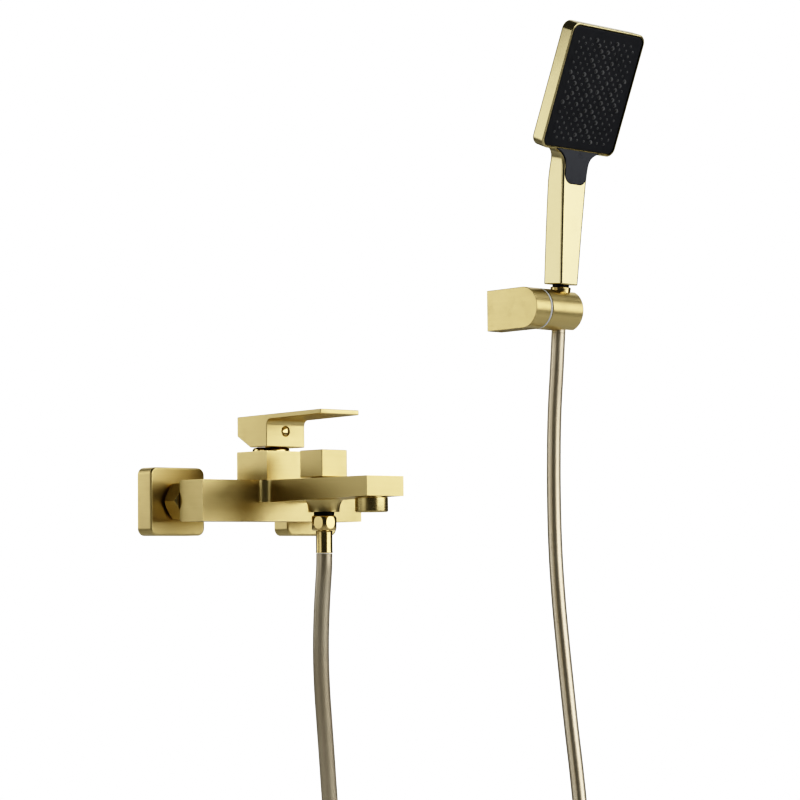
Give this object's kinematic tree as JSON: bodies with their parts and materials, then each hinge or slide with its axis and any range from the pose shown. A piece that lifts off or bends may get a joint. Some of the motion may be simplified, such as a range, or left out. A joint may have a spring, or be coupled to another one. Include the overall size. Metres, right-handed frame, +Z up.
{
  "type": "wall mounted bath faucet",
  "caption": "Square-section brushed gold wall mounted bath mixer with lever, diverter knob and spout, a hose and a hand shower in a swivelling wall holder.",
  "frame": {"origin": "on the wall's surface, midway between the two inlets and at their height", "axes": "+X along the wall to the user's right, +Y into the wall, +Z up; the spout and the spray point out along -Y"},
  "size_m": [0.5202, 0.213, 1.0302],
  "materials": {
    "brushed_gold": "satin",
    "polished_gold": "polished",
    "plated_plastic": "satin",
    "brass": "satin",
    "steel": "satin",
    "black_plastic": "satin",
    "grey_plastic": "matte",
    "white_plastic": "satin",
    "rubber": "matte",
    "ceramic": "satin",
    "hose_skin": "satin"
  },
  "bodies": {
    "root": {"escutcheon_left": "brushed_gold", "escutcheon_right": "brushed_gold", "eccentric_union_left": "brass", "eccentric_union_right": "brass", "union_nut_left": "brushed_gold", "union_nut_right": "brushed_gold", "inlet_filter_left": "rubber", "inlet_filter_right": "rubber", "mixer_body": "brushed_gold", "cartridge_seal": "rubber", "cartridge_case": "grey_plastic", "fixed_disc": "ceramic", "retaining_ring": "polished_gold", "diverter_bonnet": "brass", "diverter_seal": "rubber", "aerator_housing": "polished_gold", "aerator_insert": "grey_plastic", "aerator_washer": "rubber", "outlet_nipple": "black_plastic", "check_valve": "white_plastic", "hose_washer_lower": "rubber", "hose_nut_lower": "polished_gold", "hose_ferrule_lower": "polished_gold", "shower_hose": "hose_skin", "holder_base": "brushed_gold", "holder_wall_plate": "steel", "holder_grub_screw": "steel", "pivot_bolt": "steel", "friction_ring": "white_plastic", "wave_washer": "steel", "holder_wall_screw_upper": "steel", "holder_wall_screw_lower": "steel"},
    "temperature_turret": {"cartridge_turret": "grey_plastic", "turret_pin": "steel"},
    "lever": {"lever_handle": "brushed_gold", "lever_set_screw": "steel", "lever_screw_cap": "polished_gold", "cartridge_spindle": "brass"},
    "flow_disc": {"moving_disc": "ceramic", "disc_carrier": "grey_plastic"},
    "diverter": {"diverter_knob": "brushed_gold", "diverter_spindle": "brass", "diverter_grub_screw": "steel"},
    "swivel_barrel": {"swivel_barrel": "brushed_gold"},
    "hose_end": {"cone_nut_upper": "polished_gold", "hose_washer_upper": "rubber", "hose_tail_upper": "hose_skin"},
    "hand_shower": {"shower_shell": "plated_plastic", "spray_face": "black_plastic", "nozzle_mat": "rubber", "spray_distributor": "white_plastic", "handle_water_tube": "black_plastic", "button_spring": "steel"},
    "mode_button": {"mode_button": "black_plastic"}
  },
  "joints": [
    {"name": "lever_swing", "type": "hinge", "parent": "root", "child": "temperature_turret", "pos_m": [0, -0.051, 0.03], "axis": [0, 0, 1], "range_deg": [-45, 45]},
    {"name": "lever_lift", "type": "hinge", "parent": "temperature_turret", "child": "lever", "pos_m": [0, -0.051, 0.027], "axis": [-1, 0, 0], "range_deg": [0, 24]},
    {"name": "disc_slide", "type": "slide", "parent": "temperature_turret", "child": "flow_disc", "axis": [0, -1, 0], "range_m": [0, 0.0045]},
    {"name": "diverter_turn", "type": "hinge", "parent": "root", "child": "diverter", "pos_m": [0, -0.119, 0.03], "axis": [0, 0, 1], "range_deg": [0, 90]},
    {"name": "holder_tilt", "type": "hinge", "parent": "root", "child": "swivel_barrel", "pos_m": [0.34, -0.047, 0.1868], "axis": [1, 0, 0], "range_deg": [-15, 35]},
    {"name": "hand_shower_lift", "type": "slide", "parent": "swivel_barrel", "child": "hose_end", "axis": [0, -0.0872, 0.9962], "range_m": [0, 0.03]},
    {"name": "hand_shower_turn", "type": "hinge", "parent": "hose_end", "child": "hand_shower", "pos_m": [0.366, -0.047, 0.1868], "axis": [0, -0.0872, 0.9962], "range_deg": [-60, 60]},
    {"name": "mode_button_press", "type": "slide", "parent": "hand_shower", "child": "mode_button", "axis": [0, 0.9877, 0.1564], "range_m": [0, 0.002], "stiffness_N_per_m": 800, "springref_m": -0.0005, "deforming": ["button_spring"]}
  ],
  "couplings": [
    {"joint": "disc_slide", "follows": "lever_lift", "m_per_rad": 0.0093}
  ]
}
